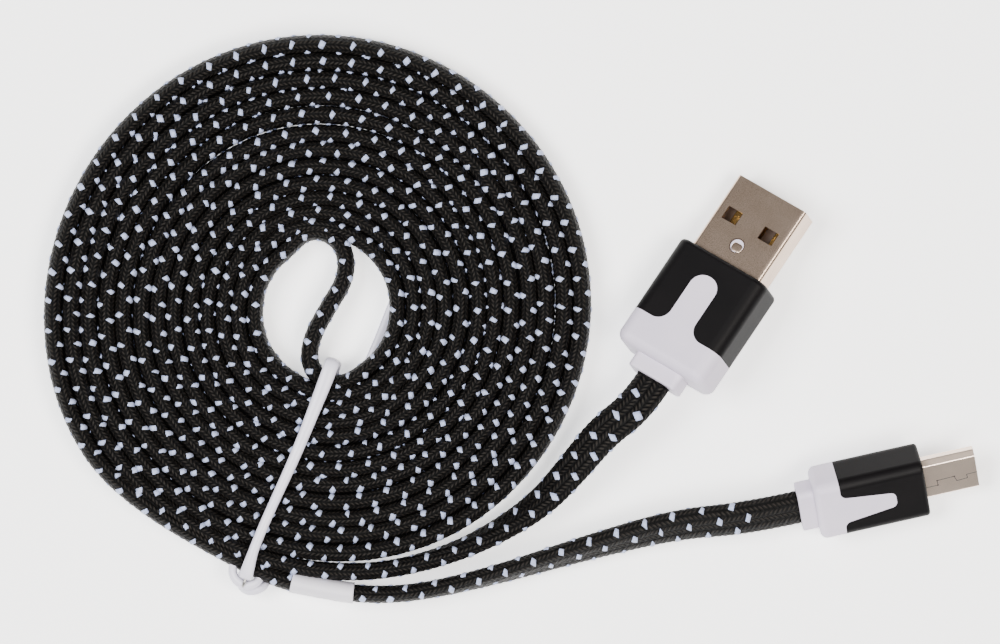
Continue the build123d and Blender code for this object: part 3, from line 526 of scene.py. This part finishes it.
for column in range(COLUMNS):
    for k in range(int((total - 2 * BARE_END) / SPACING)):
        s0 = BARE_END + (k + 0.5 * (column % 2)) * SPACING + rng.uniform(-0.22, 0.22)
        if s0 > total - BARE_END:
            continue
        p0 = column * PERIMETER / COLUMNS + DRIFT * sin(s0 / DRIFT_LENGTH + 0.6) + rng.uniform(-0.12, 0.12)
        half_long, half_wide = LONG * rng.uniform(*SIZES), WIDE * rng.uniform(*SIZES)
        lean = LEAN * rng.uniform(0.3, 1.5)
        taper = rng.uniform(0.0, 0.45)
        across = gb * half_wide * (1 - taper * (1 + ga) / 2)
        a = ga * half_long + gb * lean
        ds = a * cos(SLANT) - across * sin(SLANT)
        dp = a * sin(SLANT) + across * cos(SLANT)
        base = len(pick_points) * ga.size
        pick_points.append(on_cable(s0 + ds, p0 + dp, pick_rise).reshape(-1, 3))
        pick_uv.append(np.stack([ga.ravel(), gb.ravel()], axis=1))
        all_pick_faces += [[i + base for i in face] for face in pick_faces]
dots = new_piece("tracer_picks", np.concatenate(pick_points), all_pick_faces, tracer_material(),
                 np.concatenate(pick_uv))
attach(dots, ROOT)


# ---- the marker sleeve: a thin film shrunk on to the strand ---------------------------------------
def s_near(x, y, low, high):
    """How far along the cord it passes nearest to a point, between two shares of its length."""
    m = (s_ring > low * total) & (s_ring < high * total)
    d = np.hypot(centre[m, 0] - x, centre[m, 1] - y)
    return float(s_ring[m][np.argmin(d)])


sleeve_from, sleeve_to = s_near(-5.1, -38.6, 0.9, 1), s_near(4.1, -40.4, 0.9, 1)
FILM_OUT, FILM_IN, LIP = 0.20, 0.06, 0.03       # the film's faces above the cord, and its ends' curl
rows, columns = 34, 48
s_sleeve = np.linspace(sleeve_from, sleeve_to, rows)
# the film follows the braid in slow ripples, and its cut ends curl out
lift = FILM_OUT + 0.012 * np.sin(s_sleeve * 2.1) + 0.010 * np.sin(s_sleeve * 5.3 + 1)
lift[[0, -1]] += LIP
p_sleeve = np.arange(columns) * PERIMETER / columns
outer = [on_cable(np.full(columns, s), p_sleeve, h) for s, h in zip(s_sleeve, lift)]
inner = [on_cable(np.full(columns, s), p_sleeve, FILM_IN) for s in s_sleeve[::-1]]
shell_rows = outer + inner
sleeve_faces = grid_faces(len(shell_rows), columns, True).tolist()
last = (len(shell_rows) - 1) * columns
sleeve_faces += [[last + c, c, (c + 1) % columns, last + (c + 1) % columns] for c in range(columns)]
sleeve = new_piece("shrunk_sleeve", np.concatenate(shell_rows), sleeve_faces, None)
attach(sleeve, ROOT)
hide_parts("marker_sleeve")


# ---- the twist tie: flat film over a steel core, twisted round itself outside the coil ------------
def strip(points, half_widths, half_thick, facing, ridge=0.0):
    """Vertices and faces of a closed flat strip along a smooth line; facing is the broad face's way."""
    around, step, rounded_end = 16, 0.35, 0.7
    path = smooth_line(points, 10)
    path_s = along(path)
    n = int(path_s[-1] / step) + 2
    at = np.linspace(0, path_s[-1], n)
    share = np.linspace(0, 1, n)
    mid = columns_at(at, path_s, path)
    ahead = unit(np.gradient(mid, axis=0))
    facing = np.atleast_2d(np.array(facing, dtype=float))
    if len(facing) == 1:
        facing = np.tile(facing, (2, 1))
    way = columns_at(share, np.linspace(0, 1, len(facing)), facing)
    out = unit(way - ahead * np.sum(way * ahead, axis=1)[:, None])
    across = np.cross(ahead, out)
    half = np.interp(share, np.linspace(0, 1, len(half_widths)), half_widths)
    end = np.minimum(1, np.sqrt(np.maximum(0.02, np.minimum(at, at[-1] - at) / rounded_end)))
    a = np.arange(around) * 2 * pi / around
    c, s = np.cos(a), np.sin(a)
    x = np.sign(c) * np.abs(c) ** 0.75
    y = np.sign(s) * np.abs(s) ** 0.9 * half_thick
    # the steel core shows as a ridge along both broad faces
    y = y + ridge * np.exp(-(x / 0.42) ** 2) * np.sign(s) * (np.abs(s) > 0.3)
    half = half * (0.55 + 0.45 * end)
    verts = (mid[:, None, :] + across[:, None, :] * half[:, None, None] * x[None, :, None]
             + out[:, None, :] * y[None, :, None] * end[:, None, None])
    faces = grid_faces(n, around, True).tolist()
    faces += [list(range(around)), list(range((n - 1) * around, n * around))[::-1]]
    return verts.reshape(-1, 3), faces


# heights of the tie's run beneath the coil and of its run over the strands, which ride up there
low, high = 0.42, REST_Z + CABLE_W / 2 + TIE_LIFT + 0.42
tie_parts = [
    # up through the hole and over the bundle, flared where it ends
    strip([(-2.0, -14.5, 0.62), (0.0, -10.2, 0.62), (1.1, -7.9, 0.62), (1.15, -7.35, 3.2),
           (1.1, -7.3, high - 1.0), (0.9, -7.6, high + 0.1), (-0.3, -10.8, high + 0.05),
           (-4.2, -20.6, high - 0.05), (-7.2, -27.0, high + 0.02), (-9.8, -32.9, high),
           (-11.0, -36.4, high - 0.1), (-11.5, -38.4, high - 0.7)],
          [1.05, 1.05, 1.08, 1.08, 1.02, 0.9, 0.82, 0.76, 0.72, 0.70, 0.72, 1.05], 0.42,
          [(0, 0, -1), (0.35, 0.9, -0.5), (0.37, 0.92, 0.1), (0, 0, 1), (0, 0, 1), (0, 0, 1), (0, 0, 1),
           (-0.2, -0.2, 1)], 0.10),
    # the run back under the bundle
    strip([(1.2, -8.2, low), (-1.0, -12.6, low), (-5.5, -23.6, low), (-9.6, -34.0, low),
           (-12.2, -39.0, low + 0.3)],
          [1.05, 1.0, 0.95, 1.0], 0.28, (0, 0, 1), 0.05),
    # the long tail, seen through the hole
    strip([(-8.6, -38.9, 0.9), (-6.6, -34.0, low), (-0.2, -20.4, low), (6.25, -7.3, low), (9.9, 1.9, low),
           (12.0, 7.5, low)], [0.8, 0.7, 0.66, 0.66, 0.66], 0.28, (0, 0, 1), 0.06),
    # the two turns of the knot
    strip([(-12.9, -35.2, 4.2), (-13.5, -36.9, 4.6), (-13.0, -38.6, 4.9), (-11.3, -39.55, 5.0),
           (-9.7, -38.9, 4.7), (-9.3, -37.4, 4.1), (-9.6, -36.0, 3.4)],
          [0.5, 0.62, 0.66, 0.66, 0.62, 0.5], 0.52,
          [(-0.5, 0, 1), (-0.3, -0.5, 1), (0.3, -0.5, 1), (0.5, 0, 1)], 0.04),
    strip([(-12.2, -38.9, 1.0), (-12.2, -39.7, 2.2), (-11.2, -40.2, 3.4), (-10.0, -40.1, 3.9),
           (-8.8, -39.5, 3.2), (-8.4, -38.6, 1.8), (-8.6, -37.6, 0.7)], [0.6, 0.62, 0.66, 0.62, 0.6], 0.5,
          [(0, -1, 0.3), (0, -0.6, 1), (0.4, -0.5, 1), (0.7, -0.3, 0.6)], 0.04),
]
verts, faces, base = [], [], 0
for v, f in tie_parts:
    verts.append(v)
    faces += [[i + base for i in face] for face in f]
    base += len(v)
tie = new_piece("tied_strip", np.concatenate(verts), faces, None)
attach(tie, ROOT)
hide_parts("twist_tie_strip")


# ---- small details of the two metal shells ----------------------------------------------------------
def flat_bars(name, plug, level, bars, material):
    """Thin closed plates on a plug's broad face: each is (x0, y0, x1, y1, width, thickness)."""
    sunk = 0.01
    points, faces = [], []
    for x0, y0, x1, y1, width, thick in bars:
        run = Vector((x1 - x0, y1 - y0, 0))
        ahead = run.normalized() * (run.length / 2 + width / 2)
        left = Vector((-run.y, run.x, 0)).normalized() * (width / 2)
        middle = Vector(((x0 + x1) / 2, (y0 + y1) / 2, 0))
        first = len(points)
        for z in (level - sunk, level + thick):
            for a, b in ((-1, -1), (1, -1), (1, 1), (-1, 1)):
                points.append(tuple(plug @ (middle + ahead * a + left * b + Vector((0, 0, z)))))
        faces += [[first + i for i in face] for face in
                  ((3, 2, 1, 0), (4, 5, 6, 7), (0, 1, 5, 4), (1, 2, 6, 5), (2, 3, 7, 6), (3, 0, 4, 7))]
    return new_piece(name, points, faces, material, smooth=False)


def button(name, plug, x, y, half_long, half_wide, low, high, power):
    """A low plate: a circle in plan at power 1 and squarer below it, from low to high."""
    around = 24
    rise = high - low
    rings_up = ((1, low), (1, high - 0.25 * rise), (0.9, high), (0.5, high + 0.1 * rise))
    a = np.arange(around) * 2 * pi / around
    c, s = np.cos(a), np.sin(a)
    px, py = np.sign(c) * np.abs(c) ** power, np.sign(s) * np.abs(s) ** power
    points = []
    for share, z in rings_up:
        points += [tuple(plug @ Vector((x + half_long * share * u, y + half_wide * share * v, z)))
                   for u, v in zip(px, py)]
    rows = len(rings_up)
    faces = [[r * around + i, r * around + (i + 1) % around, (r + 1) * around + (i + 1) % around,
              (r + 1) * around + i] for r in range(rows - 1) for i in range(around)]
    faces += [list(range(around))[::-1], list(range((rows - 1) * around, rows * around))]
    return new_piece(name, points, faces, None)


# the micro-B shell is rolled from one sheet: its dovetailed joint shows on the broad face
MICRO_TOP = 0.9
SEAM_WIDTH, SEAM_THICK = 0.08, 0.004
joint = [(0.0, -1.0), (1.85, -1.0), (1.85, -0.15), (4.35, -0.05), (4.64, -0.95), (6.2, -0.85), (6.15, -0.2),
         (7.66, -0.15)]
joint_bars = [(*p, *q, SEAM_WIDTH, SEAM_THICK) for p, q in zip(joint, joint[1:])]
# the seam is wider where its corners were punched
joint_bars += [(x - 0.05, y, x + 0.05, y, 0.16, 0.005) for x, y in joint[1:4]]
# the cut edges of the sheet lie in their own shade, so the seam reads as a dark line
SEAM_MOTTLE_MM = 1.1111
seam_dark = new_material("shaded_steel_seam")
mottle = add(seam_dark, "TexNoise", {"Vector": add(seam_dark, "TexCoord", {}, "Object"),
                                     "Scale": per_mm(SEAM_MOTTLE_MM), "Detail": 2.0, "Roughness": 0.5})
seam_tint = add(seam_dark, "ValToRGB", {0: mottle}, stops=((0.3, "#2a221e"), (0.7, "#3a302a")))
close_material(seam_dark, Base_Color=seam_tint, Roughness=0.7, Metallic=0.4)
seam = flat_bars("micro_shell_joint", micro, MICRO_TOP, joint_bars, seam_dark)
# in the hole of the USB-A shell a thin white disc over the insulator's catch is a painted highlight for the
# bright reflection there, with a bent tab of the shell over it
CATCH_X = 2.95
# painted highlight: a white disc for the reflection seen in the catch hole
catch_glint_disc = button("usb_catch_painted_glint", usb, CATCH_X, 0, 1.0, 1.0, 2.15, 2.215, 1.0)
catch_tab = button("usb_catch_tab", usb, CATCH_X - 0.24, -0.12, 0.66, 0.80, 2.18, 2.243, 0.6)
for piece, slot_name in ((seam, "plug_shell_steel"), (catch_glint_disc, "white_moulding"),
                         (catch_tab, "plug_shell_steel")):
    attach(piece, ROOT)


# ---- floor and light ------------------------------------------------------------------------------
FLOOR_HALF, FLOOR_LEVEL = 1500, -0.02
WORLD_STRENGTH = 0.16
white = colour("#ffffff")
# plain white backdrop, lit from itself so that it stays pale
floor_paper = close_material(new_material("white_backdrop"), Base_Color=white, Roughness=0.9,
                             Specular_IOR_Level=0.0, Emission_Color=white, Emission_Strength=1.0)
floor = new_piece("floor", [(x * FLOOR_HALF, y * FLOOR_HALF, FLOOR_LEVEL)
                            for x, y in ((-1, -1), (1, -1), (1, 1), (-1, 1))],
                  [[0, 1, 2, 3]], floor_paper, smooth=False)

world = bpy.data.worlds.new("world")
bpy.context.scene.world = world
world.use_nodes = True
backdrop = world.node_tree.nodes["Background"].inputs
backdrop[0].default_value = white
backdrop[1].default_value = WORLD_STRENGTH


def lamp(name, place, target, size, power, tint="#ffffff"):
    """A soft box, with its place, target and size in metres and its power in watts."""
    light = bpy.data.lights.new(name, "AREA")
    light.shape = "RECTANGLE"
    light.size, light.size_y = size
    light.energy = power
    light.color = colour(tint)[:3]
    holder = bpy.data.objects.new(name, light)
    holder.location = place
    holder.rotation_euler = (Vector(target) - Vector(place)).to_track_quat("-Z", "Y").to_euler()
    bpy.context.collection.objects.link(holder)


lamp("left", (-0.46, 0.06, 0.86), (0.02, 0, 0), (0.45, 0.45), 16.0)
lamp("right", (0.40, -0.16, 0.92), (0.03, 0, 0), (0.40, 0.40), 12.0, "#fff9f2")
lamp("front", (0.02, -0.42, 0.80), (0.02, 0, 0), (0.50, 0.25), 5.0)

# ---- materials of the CAD pieces -----------------------------------------------------------------
looks = {
    # nickel plate on stamped steel: warm grey, soft reflections
    "plug_shell_steel": metal("nickel_plated_steel", "#c9b2a0", "#bca592", 0.28),
    # the smaller shell: the same nickel plate in a copy painted lighter, for the brighter light its faces
    # catch
    "micro_b_shell": metal("nickel_plated_steel_painted_lighter", "#f3dfce", "#e6d2c2", 0.30),
    # PVC moulded in a finely eroded tool: nearly black with a dull gloss
    "black_moulding": plastic("black_pvc_moulded", "#040304", "#080607", 0.50, 0.12, 0.006, 0.11),
    # the same in white, faintly lilac
    "white_moulding": plastic("white_pvc_moulded", "#cac2d0", "#c2bacb", 0.50, 0.16, 0.006),
    # glass-filled insulators, smooth and opaque
    # the USB-A insulator's dark brown is painted shade with a painted reflection of the gold contacts, as it
    # looks through the shell's windows
    "usb_a_insulator_plastic": plastic("pbt_moulded_painted_shade_brown", "#4a3b31", "#3d3028", 0.35, 0.2, 0.004),
    "micro_b_insulator_plastic": plastic("black_lcp_moulded", "#141414", "#1c1c1c", 0.4, 0.2, 0.004),
    # milky polythene, moulded hot over the joints
    "inner_mould_plastic": plastic("grey_polythene_moulded", "#8f8d88", "#86847f", 0.5, 0.2, 0.006),
    # flash gold on stamped bronze: yellow and fairly bright
    "gold_contact": metal("gold_plated_bronze", "#b8965c", "#a8854c", 0.25),
    # stainless strip as rolled: plain grey
    "spring_steel": metal("stainless_spring_strip", "#b5b2ad", "#a5a29d", 0.28),
    # extruded PVC round each wire: even colour, slight gloss
    "red_wire_insulation": plastic("red_pvc_extruded", "#b3201a", "#a01a15", 0.4, 0.2, 0.004),
    "white_wire_insulation": plastic("white_pvc_extruded", "#e4e2dd", "#dad7d1", 0.4, 0.2, 0.004),
    "green_wire_insulation": plastic("green_pvc_extruded", "#1f8a3e", "#1a7a36", 0.4, 0.2, 0.004),
    "black_wire_insulation": plastic("black_pvc_extruded", "#141414", "#1b1b1b", 0.4, 0.2, 0.004),
    # tin solder that froze smooth: the brightest metal inside
    "solder": metal("tin_solder", "#c9cacc", "#b9babd", 0.18),
    # the jacket under the braid, seen only where it is squeezed in the plugs
    "braided_cable": plastic("black_pvc_jacket", "#0d0d0e", "#131314", 0.5, 0.2, 0.004),
    # shrunk polyolefin tube: white with a soft sheen
    "sleeve_film": plastic("white_polyolefin_shrunk", "#d2ced6", "#cac7d0", 0.42, 0.25, 0.004),
    # PVC film over the tie's wire: white, glossier than the sleeve
    "tie_film": plastic("white_pvc_film", "#d4d1de", "#ccc9d8", 0.34, 0.3, 0.004),
    # annealed iron wire: dull grey
    "tie_core_wire": metal("annealed_iron_wire", "#9c9a97", "#8c8a87", 0.35),
}
sleeve.data.materials[0] = looks["sleeve_film"]
tie.data.materials[0] = looks["tie_film"]
# the painted highlight disc in the catch hole takes the white moulding
catch_glint_disc.data.materials[0] = looks["white_moulding"]
catch_tab.data.materials[0] = looks["plug_shell_steel"]
slots = {s["node"]: s["material_slot"] for s in frame["record"]["subparts"]}
slots["micro_b_shell"] = "micro_b_shell"
for node, slot_name in slots.items():
    holder = bpy.data.objects.get(node)
    for place in (holder.material_slots if holder else ()):
        place.material = looks[slot_name]
